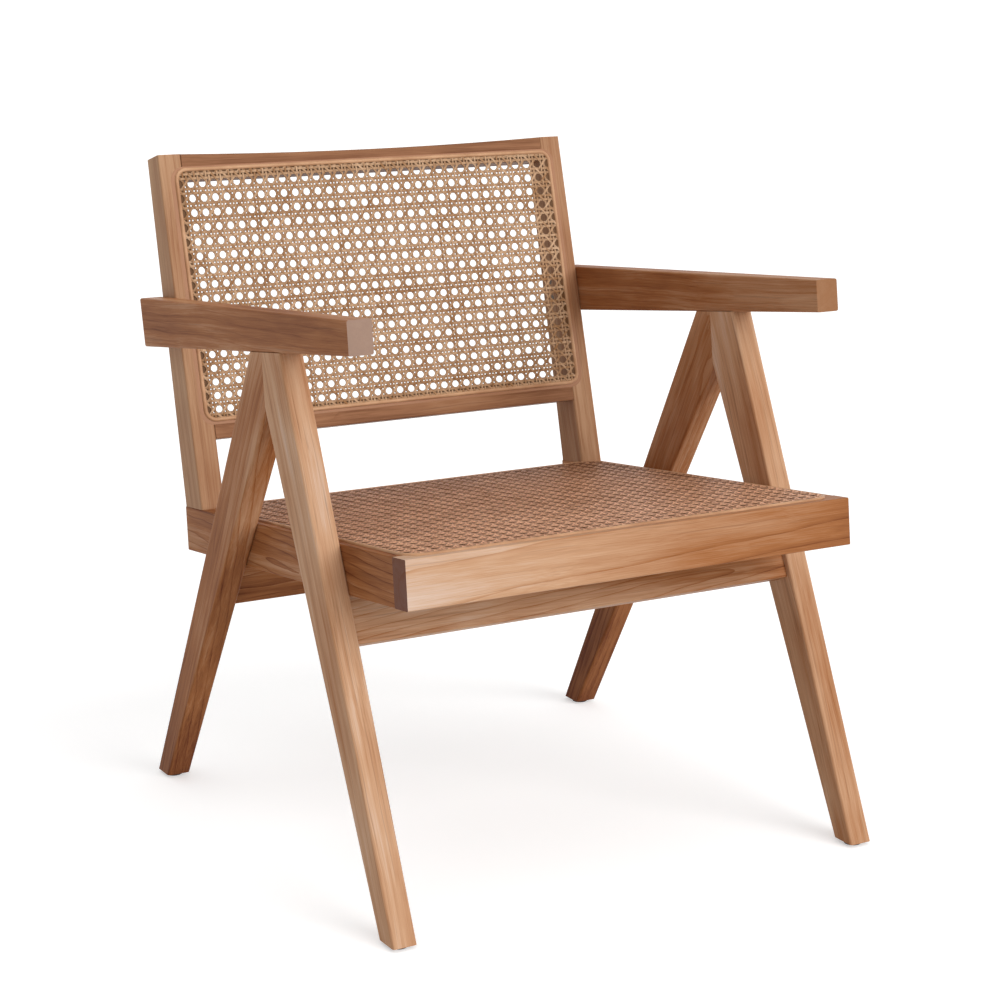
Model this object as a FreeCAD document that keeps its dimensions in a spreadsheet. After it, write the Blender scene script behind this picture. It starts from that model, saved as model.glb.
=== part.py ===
import FreeCAD, Part
import math
import os
import Sketcher

# Low lounge chair with V-shaped side frames and a woven cane seat and back.
# Millimetres and degrees. Front is -Y, up is +Z, the floor is Z = 0 and the
# origin is the middle of the chair's footprint.

SIZES = {
    # side frames: a front leg and a rear leg that meet in a seam under the arm
    "inner_width": 548.0,
    "leg_thick": 28.0,
    "leg_round": 3.0,
    "foot_width": 31.0,
    "foot_ahead": 28.5,
    "foot_spread": 612.5,
    "crotch_back": 261.5,
    "seam_length": 65.6,
    "shoulder_ahead": 34.5,
    "shoulder_behind": 39.0,
    # glides under the feet
    "glide_radius": 9.5,
    "glide_thick": 4.0,
    "glide_pin_radius": 1.5,
    "glide_pin_length": 16.0,
    # arms: deeper at the rear than at the front
    "arm_ahead_back": 65.0,
    "arm_front_height": 592.0,
    "arm_slope": 7.9,
    "arm_top_slope": 5.7,
    "arm_front_deep": 36.0,
    "arm_round": 2.5,
    # seat frame, measured along and square to the sloping seat
    "seat_height": 397.0,
    "seat_slope": 6.65,
    "seat_depth": 552.0,
    "rail_height": 52.0,
    "rail_round": 1.5,
    "front_rail_thick": 28.0,
    "side_rail_thick": 29.0,
    "rear_rail_thick": 30.0,
    "rear_rail_setback": 34.0,
    # stretchers between the legs, leaning as the legs do
    "stretcher_thick": 22.0,
    "stretcher_height": 56.0,
    "tenon_thick": 12.0,
    "tenon_height": 34.0,
    "tenon_length": 16.0,
    # back frame, measured along and square to the leaning back
    "back_lean": 15.8,
    "stile_wide": 29.0,
    "stile_length": 417.0,
    "stile_top_deep": 34.0,
    "stile_foot_deep": 48.5,
    "stile_round": 2.5,
    "back_rail_thick": 28.0,
    "top_rail_height": 30.0,
    "top_rail_dip": 4.5,
    "lower_rail_height": 30.0,
    "lower_rail_rise": 80.5,
    # cane sheets, their grooves and the reed beads that hold them
    "cane_thick": 1.6,
    "cane_bar": 16.0,
    "groove_wide": 4.6,
    "groove_deep": 7.0,
    "bead_proud": 2.4,
    "bead_root": 6.0,
    "bead_ease": 1.4,
    "seat_border_side": 12.0,
    "seat_border_front": 14.0,
    "seat_border_rear": 15.5,
    "seat_corner": 24.0,
    "back_border_top": 17.5,
    "back_border_side": 15.0,
    "back_border_bottom": 19.0,
    # dowels and screws
    "dowel_radius": 4.0,
    "dowel_length": 30.0,
    "back_dowel_radius": 3.0,
    "dowel_fit": 0.1,
    "screw_radius": 2.5,
    "screw_length": 45.0,
    "screw_head_radius": 5.0,
    "screw_head_thick": 3.0,
    "screw_pitch": 22.0,
}


class Size:
    """A size that carries both its value and its formula over the sheet."""

    def __init__(self, value, text):
        self.value = value
        self.text = text

    @staticmethod
    def of(other):
        return other if isinstance(other, Size) else Size(float(other), repr(float(other)))

    def join(self, sign, other, value):
        return Size(value, "(%s %s %s)" % (self.text, sign, other.text))

    def __add__(self, other):
        other = Size.of(other)
        return self.join("+", other, self.value + other.value)

    def __sub__(self, other):
        other = Size.of(other)
        return self.join("-", other, self.value - other.value)

    def __mul__(self, other):
        other = Size.of(other)
        return self.join("*", other, self.value * other.value)

    def __truediv__(self, other):
        other = Size.of(other)
        return self.join("/", other, self.value / other.value)

    def __neg__(self):
        return Size(-self.value, "(0 - %s)" % self.text)


ZERO = Size.of(0)
SHEET = {name: Size(value, "Sizes." + name) for name, value in SIZES.items()}


def cos(angle):
    return Size(math.cos(math.radians(angle.value)), "cos(%s)" % angle.text)


def sin(angle):
    return Size(math.sin(math.radians(angle.value)), "sin(%s)" % angle.text)


def tan(angle):
    return Size(math.tan(math.radians(angle.value)), "tan(%s)" % angle.text)


def between(start, end, share):
    """The point a share of the way from one (y, z) point to another."""
    return tuple(a + (b - a) * share for a, b in zip(start, end))


def crossing(p, q, height, slope):
    """Where the line p to q meets the line z = height - slope * y."""
    run = (q[0] - p[0]) / (q[1] - p[1])
    z = (height - slope * p[0] + slope * run * p[1]) / (slope * run + 1)
    return (p[0] + run * (z - p[1]), z)


# Document and its sheet of driving sizes

doc = FreeCAD.newDocument("lounge_chair")
sheet = doc.addObject("Spreadsheet::Sheet", "Sizes")
for row, (name, value) in enumerate(SIZES.items(), 1):
    sheet.set("A%d" % row, name)
    sheet.set("B%d" % row, repr(value))
    sheet.setAlias("B%d" % row, name)
doc.recompute()

inner_width = SHEET["inner_width"]
leg_thick = SHEET["leg_thick"]
glide_thick = SHEET["glide_thick"]
seat_height = SHEET["seat_height"]
seat_slope = SHEET["seat_slope"]
seat_depth = SHEET["seat_depth"]
rail_height = SHEET["rail_height"]
side_rail_thick = SHEET["side_rail_thick"]
back_lean = SHEET["back_lean"]
stile_wide = SHEET["stile_wide"]
stile_length = SHEET["stile_length"]
dowel_fit = SHEET["dowel_fit"]
dowel_radius = SHEET["dowel_radius"]
dowel_length = SHEET["dowel_length"]

half_inner = inner_width / 2

# Side view, (y, z) from the floor under the seat's front edge

stile_foot = seat_depth - SHEET["stile_foot_deep"]
back_foot = (stile_foot * cos(seat_slope), seat_height - stile_foot * sin(seat_slope))
stile_heel = (seat_depth * cos(seat_slope), seat_height - seat_depth * sin(seat_slope))
stile_top_front = (
    back_foot[0] + stile_length * sin(back_lean),
    back_foot[1] + stile_length * cos(back_lean),
)
stile_top_rear = (
    stile_top_front[0] + SHEET["stile_top_deep"] * cos(back_lean),
    stile_top_front[1] - SHEET["stile_top_deep"] * sin(back_lean),
)

toe = (-SHEET["foot_ahead"], ZERO)
front_heel = (toe[0] + SHEET["foot_width"], ZERO)
heel = (toe[0] + SHEET["foot_spread"], ZERO)
rear_toe = (heel[0] - SHEET["foot_width"], ZERO)

# the arm's underside is z = under_height - under_fall * y
under_fall = tan(SHEET["arm_slope"])
under_height = SHEET["arm_front_height"] + under_fall * SHEET["arm_ahead_back"]


def on_underside(y):
    return (y, under_height - under_fall * y)


# the seam runs square to the arm, down to the crotch between the legs
seam_length = SHEET["seam_length"]
seam_top = on_underside(SHEET["crotch_back"] + seam_length * sin(SHEET["arm_slope"]))
crotch = (SHEET["crotch_back"], seam_top[1] - seam_length * cos(SHEET["arm_slope"]))
front_shoulder = on_underside(crotch[0] - SHEET["shoulder_ahead"])
rear_shoulder = on_underside(crotch[0] + SHEET["shoulder_behind"])

arm_toe = on_underside(SHEET["arm_ahead_back"])
arm_front_top = (
    arm_toe[0] + SHEET["arm_front_deep"] * sin(SHEET["arm_slope"]),
    arm_toe[1] + SHEET["arm_front_deep"] * cos(SHEET["arm_slope"]),
)
arm_top_fall = tan(SHEET["arm_top_slope"])
arm_top_height = arm_front_top[1] + arm_top_fall * arm_front_top[0]
arm_heel = crossing(stile_heel, stile_top_rear, under_height, under_fall)
arm_rear_top = crossing(stile_heel, stile_top_rear, arm_top_height, arm_top_fall)

# the underside of the seat frame is z = belly_height - belly_fall * y
belly_fall = tan(seat_slope)
belly_height = seat_height - rail_height / cos(seat_slope)

# Frames that the pieces are drawn in: base point and turn about X

toe_tip = toe[0] + (front_shoulder[0] - toe[0]) * (glide_thick / front_shoulder[1])
middle = (toe_tip + stile_top_rear[0]) / 2
FLOOR = ((ZERO, -middle, ZERO), ZERO)
SEAT = ((ZERO, -middle, seat_height), -seat_slope)
BACK = ((ZERO, back_foot[0] - middle, back_foot[1]), -back_lean)


def place(thing, frame):
    """Puts an object in one of the frames, bound to the sheet."""
    base, turn = frame
    point = FreeCAD.Vector(*[size.value for size in base])
    thing.Placement = FreeCAD.Placement(point, FreeCAD.Rotation(FreeCAD.Vector(1, 0, 0), turn.value))
    for axis, size in zip("xyz", base):
        thing.setExpression("Placement.Base." + axis, size.text)
    if turn is not ZERO:
        thing.setExpression("Placement.Rotation.Angle", turn.text)


def new_body(label, frame):
    body = doc.addObject("PartDesign::Body", label)
    body.Label = label
    place(body, frame)
    return body


def new_sketch(body, plane, offset=ZERO):
    """A sketch on one of the body's own origin planes, offset along its normal."""
    sketch = body.newObject("Sketcher::SketchObject", body.Label + "_sketch")
    support = [item for item in body.Origin.OriginFeatures if item.Role == plane][0]
    sketch.AttachmentSupport = (support, [""])
    sketch.MapMode = "FlatFace"
    sketch.AttachmentOffset = FreeCAD.Placement(FreeCAD.Vector(0, 0, offset.value), FreeCAD.Rotation())
    if offset is not ZERO:
        sketch.setExpression("AttachmentOffset.Base.z", offset.text)
    return sketch


def fix(sketch, kind, *where, size):
    """Adds a dimension that follows a formula over the sheet."""
    index = sketch.addConstraint(Sketcher.Constraint(kind, *where, size.value))
    if size is not ZERO:
        sketch.setExpression("Constraints[%d]" % index, size.text)


def pin(sketch, geometry, end, point):
    fix(sketch, "DistanceX", -1, 1, geometry, end, size=point[0])
    fix(sketch, "DistanceY", -1, 1, geometry, end, size=point[1])


def draw_polygon(sketch, points):
    corners = [FreeCAD.Vector(a.value, b.value, 0) for a, b in points]
    first = sketch.GeometryCount
    count = len(corners)
    for i, corner in enumerate(corners):
        sketch.addGeometry(Part.LineSegment(corner, corners[(i + 1) % count]))
    for i, point in enumerate(points):
        sketch.addConstraint(Sketcher.Constraint("Coincident", first + i, 2, first + (i + 1) % count, 1))
        pin(sketch, first + i, 1, point)


def draw_rounded(sketch, low, high, radius):
    """A rectangle with round corners between two (x, y) points."""
    r = radius.value
    left, bottom = low[0].value, low[1].value
    right, top = high[0].value, high[1].value
    sides = [
        ((left + r, bottom), (right - r, bottom)),
        ((right, bottom + r), (right, top - r)),
        ((right - r, top), (left + r, top)),
        ((left, top - r), (left, bottom + r)),
    ]
    centres = [
        (high[0] - radius, low[1] + radius),
        (high[0] - radius, high[1] - radius),
        (low[0] + radius, high[1] - radius),
        (low[0] + radius, low[1] + radius),
    ]
    first = sketch.GeometryCount
    up = FreeCAD.Vector(0, 0, 1)
    for i, (start, end) in enumerate(sides):
        sketch.addGeometry(Part.LineSegment(FreeCAD.Vector(*start, 0), FreeCAD.Vector(*end, 0)))
        centre = FreeCAD.Vector(centres[i][0].value, centres[i][1].value, 0)
        turn = (i - 1) * math.pi / 2
        sketch.addGeometry(Part.ArcOfCircle(Part.Circle(centre, up, r), turn, turn + math.pi / 2))
    for i, centre in enumerate(centres):
        side, arc = first + 2 * i, first + 2 * i + 1
        following = first + (2 * i + 2) % 8
        sketch.addConstraint(Sketcher.Constraint("Tangent", side, 2, arc, 1))
        sketch.addConstraint(Sketcher.Constraint("Tangent", arc, 2, following, 1))
        pin(sketch, arc, 3, centre)
        fix(sketch, "Radius", arc, size=radius)


def pad(body, sketch, length, reverse=False):
    feature = body.newObject("PartDesign::Pad", body.Label + "_pad")
    feature.Profile = sketch
    feature.Length = length.value
    feature.setExpression("Length", length.text)
    feature.Reversed = reverse
    doc.recompute()
    return feature


def pocket(body, sketch, depth, reverse=False):
    """Cuts a sketch into the body and makes sure that wood was removed."""
    before = body.Shape.Volume
    feature = body.newObject("PartDesign::Pocket", body.Label + "_pocket")
    feature.Profile = sketch
    feature.Length = depth.value
    feature.setExpression("Length", depth.text)
    feature.Reversed = reverse
    doc.recompute()
    if body.Shape.Volume >= before:
        raise RuntimeError("the pocket in %s cut nothing" % body.Label)
    return feature


def ease_long_edges(body, radius):
    """Rounds the edges that run the length of the piece."""
    tip = body.Tip
    edges = tip.Shape.Edges
    longest = max(edge.Length for edge in edges)
    names = ["Edge%d" % (i + 1) for i, edge in enumerate(edges) if edge.Length > longest / 2]
    feature = body.newObject("PartDesign::Fillet", body.Label + "_rounding")
    feature.Base = (tip, names)
    feature.Radius = radius.value
    feature.setExpression("Radius", radius.text)
    doc.recompute()
    return feature


def plank(label, frame, start, thick, outline, radius):
    """A piece cut from a board: a side outline, padded along X and eased."""
    body = new_body(label, frame)
    sketch = new_sketch(body, "YZ_Plane", start)
    draw_polygon(sketch, outline)
    pad(body, sketch, thick)
    ease_long_edges(body, radius)
    return body


# Pins: each is a centre point, a direction and a length in one frame. They are hidden, so
# a prism of a few sides stands for the round, and the hole it sits in has the same sides

ALONG_X = FreeCAD.Rotation(FreeCAD.Vector(0, 1, 0), 90)
ALONG_Y = FreeCAD.Rotation(FreeCAD.Vector(1, 0, 0), -90)


def turned(angle):
    """The direction at an angle from straight up towards +Y."""
    return FreeCAD.Rotation(FreeCAD.Vector(1, 0, 0), -angle.value)


PEG_SIDES = 8
HEAD_SIDES = 6


class Peg:
    """A pin with its middle at a point, along a direction."""

    sides = PEG_SIDES

    def __init__(self, point, rotation, radius, length):
        self.rotation = rotation
        self.radius = radius
        self.length = length
        self.axis = rotation.multVec(FreeCAD.Vector(0, 0, 1))
        self.start = [p - length * (a / 2) for p, a in zip(point, self.axis)]

    def put(self, thing, extra=ZERO):
        """Sets a prism's sizes and place, longer by extra at each end."""
        low = [p - extra * a for p, a in zip(self.start, self.axis)]
        thing.Placement = FreeCAD.Placement(FreeCAD.Vector(*[p.value for p in low]), self.rotation)
        for axis, size in zip("xyz", low):
            thing.setExpression("Placement.Base." + axis, size.text)
        radius = self.radius + extra
        height = self.length + extra * 2
        thing.Polygon = self.sides
        thing.Circumradius = radius.value
        thing.Height = height.value
        thing.setExpression("Circumradius", radius.text)
        thing.setExpression("Height", height.text)

    def bore(self, body):
        """Drills the hole that this pin sits in."""
        before = body.Shape.Volume
        hole = body.newObject("PartDesign::SubtractivePrism", body.Label + "_bore")
        self.put(hole, dowel_fit)
        doc.recompute()
        if body.Shape.Volume >= before:
            raise RuntimeError("a bore in %s cut nothing" % body.Label)


def peg_solid(peg, name):
    solid = doc.addObject("Part::Prism", name)
    peg.put(solid)
    return solid


def group(label, frame, solids):
    """Like pieces that share one node."""
    compound = doc.addObject("Part::Compound", label)
    compound.Label = label
    compound.Links = solids
    place(compound, frame)
    return compound


pieces = []
SIDES = (("left", -1), ("right", 1))


def slab_start(side, inner, thick):
    """Where a slab that stands outside the inner face begins, on either side."""
    return inner if side > 0 else -(inner + thick)


# Side frames

seam_pegs = {side: [] for _, side in SIDES}
arm_pegs = {side: [] for _, side in SIDES}
seam_dowel_shares = (0.2, 0.6)
seam_lean = SHEET["arm_slope"]
square_to_seam = Size(seam_lean.value + 90, "(%s + 90)" % seam_lean.text)

for _, side in SIDES:
    x = (half_inner + leg_thick / 2) * side
    for share in seam_dowel_shares:
        y, z = between(crotch, seam_top, share)
        seam_pegs[side].append(Peg((x, y, z), turned(square_to_seam), dowel_radius, dowel_length))
    for shoulder in (front_shoulder, rear_shoulder):
        y, z = between(shoulder, seam_top, 0.5)
        arm_pegs[side].append(Peg((x, y, z), turned(seam_lean), dowel_radius, dowel_length))


def leg_level(lower, upper, height):
    """The (y, z) point of an edge line at a height."""
    share = (height - lower[1]) / (upper[1] - lower[1])
    return between(lower, upper, share)


front_outline = [
    leg_level(toe, front_shoulder, glide_thick),
    leg_level(front_heel, crotch, glide_thick),
    crotch,
    seam_top,
    front_shoulder,
]
rear_outline = [
    leg_level(rear_toe, crotch, glide_thick),
    leg_level(heel, rear_shoulder, glide_thick),
    rear_shoulder,
    seam_top,
    crotch,
]

# Stretchers: a leaning board whose top bears on the seat frame


def stretcher_section(low_mid, high_mid):
    """Outlines of the stretcher and its tenon, from the leg's centre line."""
    run = (high_mid[0] - low_mid[0]) / (high_mid[1] - low_mid[1])
    lean = Size(math.degrees(math.atan(run.value)), "atan(%s)" % run.text)
    top = crossing(low_mid, high_mid, belly_height, belly_fall)

    def corner(across, down):
        return (
            top[0] + across * cos(lean) - down * sin(lean),
            top[1] - across * sin(lean) - down * cos(lean),
        )

    half = SHEET["stretcher_thick"] / 2
    low_front = corner(-half, SHEET["stretcher_height"])
    low_rear = corner(half, SHEET["stretcher_height"])
    outline = [
        low_front,
        low_rear,
        crossing(low_rear, corner(half, ZERO), belly_height, belly_fall),
        crossing(low_front, corner(-half, ZERO), belly_height, belly_fall),
    ]
    half_tenon = SHEET["tenon_thick"] / 2
    shoulder = (SHEET["stretcher_height"] - SHEET["tenon_height"]) / 2

    def tenon(fit):
        deep = shoulder + SHEET["tenon_height"] + fit
        return [
            corner(-half_tenon - fit, deep),
            corner(half_tenon + fit, deep),
            corner(half_tenon + fit, shoulder - fit),
            corner(-half_tenon - fit, shoulder - fit),
        ]

    return outline, tenon


front_section, front_tenon = stretcher_section(
    between(toe, front_heel, 0.5), between(front_shoulder, seam_top, 0.5)
)
rear_section, rear_tenon = stretcher_section(
    between(rear_toe, heel, 0.5), between(seam_top, rear_shoulder, 0.5)
)


def make_stretcher(label, section, tenon):
    body = plank(label, FLOOR, -half_inner, inner_width, section, SHEET["rail_round"])
    tenon_length = SHEET["tenon_length"]
    for start in (-half_inner - tenon_length, half_inner):
        sketch = new_sketch(body, "YZ_Plane", start)
        draw_polygon(sketch, tenon(ZERO))
        pad(body, sketch, tenon_length)
    return body


pieces.append(make_stretcher("front_stretcher", front_section, front_tenon))
pieces.append(make_stretcher("rear_stretcher", rear_section, rear_tenon))


def cut_mortise(body, side, tenon):
    """The blind pocket that a stretcher's tenon fills."""
    deep = SHEET["tenon_length"] + dowel_fit
    sketch = new_sketch(body, "YZ_Plane", half_inner * side)
    draw_polygon(sketch, tenon(dowel_fit))
    pocket(body, sketch, deep, reverse=side > 0)


# Screws that hold the seat frame to the legs and the arms to the back

screw_length = SHEET["screw_length"]
screw_pitch = SHEET["screw_pitch"]


class Screw:
    """A screw from the inside face of a member outwards along X."""

    def __init__(self, side, head_face, y, z):
        head_thick = SHEET["screw_head_thick"]
        middle_x = (head_face + screw_length / 2) * side
        self.shank = Peg((middle_x, y, z), ALONG_X, SHEET["screw_radius"], screw_length)
        head_x = (head_face + head_thick / 2) * side
        self.head = Peg((head_x, y, z), ALONG_X, SHEET["screw_head_radius"], head_thick)
        self.head.sides = HEAD_SIDES

    def solid(self, name):
        fuse = doc.addObject("Part::MultiFuse", name)
        fuse.Shapes = [peg_solid(self.shank, name + "_shank"), peg_solid(self.head, name + "_head")]
        return fuse


seat_screws = {(kind, side): [] for kind in ("front", "rear") for _, side in SIDES}
rail_middle = belly_height + rail_height / 2
leg_lines = {
    "front": (between(toe, front_heel, 0.5), between(front_shoulder, seam_top, 0.5)),
    "rear": (between(rear_toe, heel, 0.5), between(seam_top, rear_shoulder, 0.5)),
}
for kind, line in leg_lines.items():
    for offset in (screw_pitch / 2, -screw_pitch / 2):
        y, z = crossing(*line, rail_middle + offset, belly_fall)
        for _, side in SIDES:
            seat_screws[kind, side].append(Screw(side, half_inner - side_rail_thick, y, z))

arm_screws = {side: [] for _, side in SIDES}
stile_axis = (between(back_foot, stile_heel, 0.5), between(stile_top_front, stile_top_rear, 0.5))
arm_rear_middle = between(
    crossing(*stile_axis, under_height, under_fall),
    crossing(*stile_axis, arm_top_height, arm_top_fall),
    0.5,
)
for offset in (screw_pitch / 2, -screw_pitch / 2):
    z = arm_rear_middle[1] + offset
    y = arm_rear_middle[0] + offset * tan(back_lean)
    for _, side in SIDES:
        arm_screws[side].append(Screw(side, half_inner - stile_wide, y, z))

# Legs and arms

for name, side in SIDES:
    start = slab_start(side, half_inner, leg_thick)
    front = plank("front_leg_" + name, FLOOR, start, leg_thick, front_outline, SHEET["leg_round"])
    rear = plank("rear_leg_" + name, FLOOR, start, leg_thick, rear_outline, SHEET["leg_round"])
    arm = plank(
        "armrest_" + name, FLOOR, start, leg_thick,
        [arm_toe, arm_heel, arm_rear_top, arm_front_top], SHEET["arm_round"],
    )
    for peg in seam_pegs[side]:
        peg.bore(front)
        peg.bore(rear)
    for leg, peg in zip((front, rear), arm_pegs[side]):
        peg.bore(leg)
        peg.bore(arm)
    cut_mortise(front, side, front_tenon)
    cut_mortise(rear, side, rear_tenon)
    for leg, kind in ((front, "front"), (rear, "rear")):
        for screw in seat_screws[kind, side]:
            screw.shank.bore(leg)
    for screw in arm_screws[side]:
        screw.shank.bore(arm)
    pieces += [front, rear, arm]

# Glides: a round pad with a nail up into the foot

glides = []
pin_length = SHEET["glide_pin_length"]
for low, high in (leg_lines["front"], leg_lines["rear"]):
    y, z = leg_level(low, high, glide_thick)
    for name, side in SIDES:
        x = (half_inner + leg_thick / 2) * side
        glides.append((name, (x, y)))


def glide_pin(x, y):
    return Peg((x, y, glide_thick + pin_length / 2), FreeCAD.Rotation(), SHEET["glide_pin_radius"], pin_length)


def glide_pad(name, x, y):
    disc = doc.addObject("Part::Cylinder", name)
    radius = SHEET["glide_radius"]
    disc.Placement = FreeCAD.Placement(FreeCAD.Vector(x.value, y.value, 0), FreeCAD.Rotation())
    disc.Radius = radius.value
    disc.Height = glide_thick.value
    disc.setExpression("Placement.Base.x", x.text)
    disc.setExpression("Placement.Base.y", y.text)
    disc.setExpression("Radius", radius.text)
    disc.setExpression("Height", glide_thick.text)
    return disc


glide_solids = []
for i, (name, (x, y)) in enumerate(glides):
    base = glide_pad("glide_base_%d" % i, x, y)
    nail = peg_solid(glide_pin(x, y), "glide_nail_%d" % i)
    fuse = doc.addObject("Part::MultiFuse", "glide_%d" % i)
    fuse.Shapes = [base, nail]
    glide_solids.append(fuse)
    leg_label = ("front_leg_" if i < len(SIDES) else "rear_leg_") + name
    glide_pin(x, y).bore(doc.getObjectsByLabel(leg_label)[0])
pieces.append(group("foot_glides", FLOOR, glide_solids))

# Seat frame, drawn with the seat's top face level and its front edge at Y = 0


def board(y0, y1, z0, z1):
    return [(y0, z0), (y1, z0), (y1, z1), (y0, z1)]


front_rail_thick = SHEET["front_rail_thick"]
rear_rail_back = seat_depth - SHEET["rear_rail_setback"]
rear_rail_front = rear_rail_back - SHEET["rear_rail_thick"]
rail_round = SHEET["rail_round"]
seat_inner = half_inner - side_rail_thick

front_rail = plank(
    "seat_front_rail", SEAT, -half_inner, inner_width,
    board(ZERO, front_rail_thick, -rail_height, ZERO), rail_round,
)
rear_rail = plank(
    "seat_rear_rail", SEAT, -seat_inner, seat_inner * 2,
    board(rear_rail_front, rear_rail_back, -rail_height, ZERO), rail_round,
)
side_rails = {
    side: plank(
        "seat_side_rail_" + name, SEAT, slab_start(side, seat_inner, side_rail_thick), side_rail_thick,
        board(front_rail_thick, seat_depth, -rail_height, ZERO), rail_round,
    )
    for name, side in SIDES
}


# openings of the cane sheets, across and along
SEAT_OPENING_COUNTS = (10, 9)
BACK_OPENING_COUNTS = (10, 6)


class CaneField:
    """A cane sheet, its groove and its bead, inside a rounded outline."""

    def __init__(self, plane, low, high, corner, clear_low, clear_high, openings):
        self.plane = plane
        self.low = low
        self.high = high
        self.corner = corner
        self.clear_low = clear_low
        self.clear_high = clear_high
        self.openings = openings

    def outline(self, sketch, grow):
        """The groove's middle line, grown outwards."""
        low = tuple(size - grow for size in self.low)
        high = tuple(size + grow for size in self.high)
        draw_rounded(sketch, low, high, self.corner + grow)

    def ring(self, body, outer, inner):
        sketch = new_sketch(body, self.plane)
        self.outline(sketch, outer)
        self.outline(sketch, inner)
        return sketch

    def groove(self, body):
        half = SHEET["groove_wide"] / 2
        pocket(body, self.ring(body, half, -half), SHEET["groove_deep"])

    def sheet_body(self, label, frame):
        """The sheet lies on the rails and ends against the bead."""
        body = new_body(label, frame)
        face = new_sketch(body, self.plane)
        self.outline(face, -(SHEET["groove_wide"] / 2))
        sheet_pad = pad(body, face, SHEET["cane_thick"])
        self.cut_openings(body, sheet_pad)
        return body

    def cut_openings(self, body, sheet_pad):
        """A plain grid of openings between the rails, for the weave's many small holes."""
        half_bar = SHEET["cane_bar"] / 2
        runs = [high - low for low, high in zip(self.clear_low, self.clear_high)]
        pitches = [run / count for run, count in zip(runs, self.openings)]
        near = [low + half_bar for low in self.clear_low]
        far = [low + pitch - half_bar for low, pitch in zip(self.clear_low, pitches)]
        cell = new_sketch(body, self.plane)
        draw_polygon(cell, [(near[0], near[1]), (far[0], near[1]), (far[0], far[1]), (near[0], far[1])])
        opening = pocket(body, cell, SHEET["cane_thick"], reverse=True)
        grid = doc.addObject("PartDesign::MultiTransform", body.Label + "_grid")
        body.addObject(grid)
        grid.Originals = [opening]
        rows = []
        for axis, run, pitch, count in zip(("H_Axis", "V_Axis"), runs, pitches, self.openings):
            row = doc.addObject("PartDesign::LinearPattern", "%s_%s_row" % (body.Label, axis[0].lower()))
            body.addObject(row)
            row.Direction = (cell, [axis])
            length = run - pitch
            row.Length = length.value
            row.Occurrences = count
            row.setExpression("Length", length.text)
            rows.append(row)
        grid.Transformations = rows
        body.Tip = grid
        doc.recompute()
        solid = sheet_pad.Shape.Volume - grid.Shape.Volume
        one = sheet_pad.Shape.Volume - opening.Shape.Volume
        if round(solid / one) != self.openings[0] * self.openings[1]:
            raise RuntimeError("the grid of openings in %s is not whole" % body.Label)

    def bead_body(self, label, frame):
        """The reed that is driven into the groove, with its proud edges eased."""
        body = new_body(label, frame)
        half = SHEET["groove_wide"] / 2
        top = pad(body, self.ring(body, half, -half), SHEET["bead_proud"])
        rims = [
            "Edge%d" % (i + 1) for i, edge in enumerate(top.Shape.Edges)
            if self.height(edge.CenterOfGravity) > SHEET["bead_proud"].value / 2
            and self.height(edge.Vertexes[0].Point) > SHEET["bead_proud"].value / 2
            and self.height(edge.Vertexes[-1].Point) > SHEET["bead_proud"].value / 2
        ]
        easing = body.newObject("PartDesign::Chamfer", label + "_easing")
        easing.Base = (top, rims)
        easing.Size = SHEET["bead_ease"].value
        easing.setExpression("Size", SHEET["bead_ease"].text)
        doc.recompute()
        pad(body, self.ring(body, half, -half), SHEET["bead_root"], reverse=True)
        return body

    def height(self, point):
        """How far a point stands out from the frame's face."""
        return point.z if self.plane == "XY_Plane" else -point.y


seat_cane_half = half_inner - SHEET["seat_border_side"]
seat_field = CaneField(
    "XY_Plane",
    (-seat_cane_half, SHEET["seat_border_front"]),
    (seat_cane_half, rear_rail_back - SHEET["seat_border_rear"]),
    SHEET["seat_corner"],
    (-seat_inner, front_rail_thick),
    (seat_inner, rear_rail_front),
    SEAT_OPENING_COUNTS,
)
for rail in (front_rail, rear_rail, *side_rails.values()):
    seat_field.groove(rail)

# Dowels of the seat frame

rail_dowel_shares = (0.36, 0.7)
seat_pegs = []
for _, side in SIDES:
    for share in rail_dowel_shares:
        depth = -rail_height * share
        centre_x = (half_inner - side_rail_thick / 2) * side
        butt = Peg((centre_x, front_rail_thick, depth), ALONG_Y, dowel_radius, dowel_length)
        butt.bore(front_rail)
        butt.bore(side_rails[side])
        cross = Peg(
            (seat_inner * side, (rear_rail_front + rear_rail_back) / 2, depth),
            ALONG_X, dowel_radius, dowel_length,
        )
        cross.bore(rear_rail)
        cross.bore(side_rails[side])
        seat_pegs += [butt, cross]


def in_seat(y, z):
    """A (y, z) floor-frame point in the seat's own frame."""
    rise = z - seat_height
    return (y * cos(seat_slope) - rise * sin(seat_slope), y * sin(seat_slope) + rise * cos(seat_slope))


def in_back(y, z):
    """A (y, z) floor-frame point in the back's own frame."""
    ahead, rise = y - back_foot[0], z - back_foot[1]
    return (ahead * cos(back_lean) - rise * sin(back_lean), ahead * sin(back_lean) + rise * cos(back_lean))


def moved(peg, to_frame, turn):
    """The same X-wise peg in a frame that is turned about X."""
    x = peg.start[0] + peg.length / 2
    y, z = to_frame(peg.start[1], peg.start[2])
    rotation = FreeCAD.Rotation(FreeCAD.Vector(1, 0, 0), turn.value).multiply(ALONG_X)
    copy = Peg((x, y, z), rotation, peg.radius, peg.length)
    copy.sides = peg.sides
    return copy


for (kind, side), screws in seat_screws.items():
    for screw in screws:
        moved(screw.shank, in_seat, seat_slope).bore(side_rails[side])
        moved(screw.head, in_seat, seat_slope).bore(side_rails[side])

# Back frame, drawn upright with its front face at Y = 0

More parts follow.
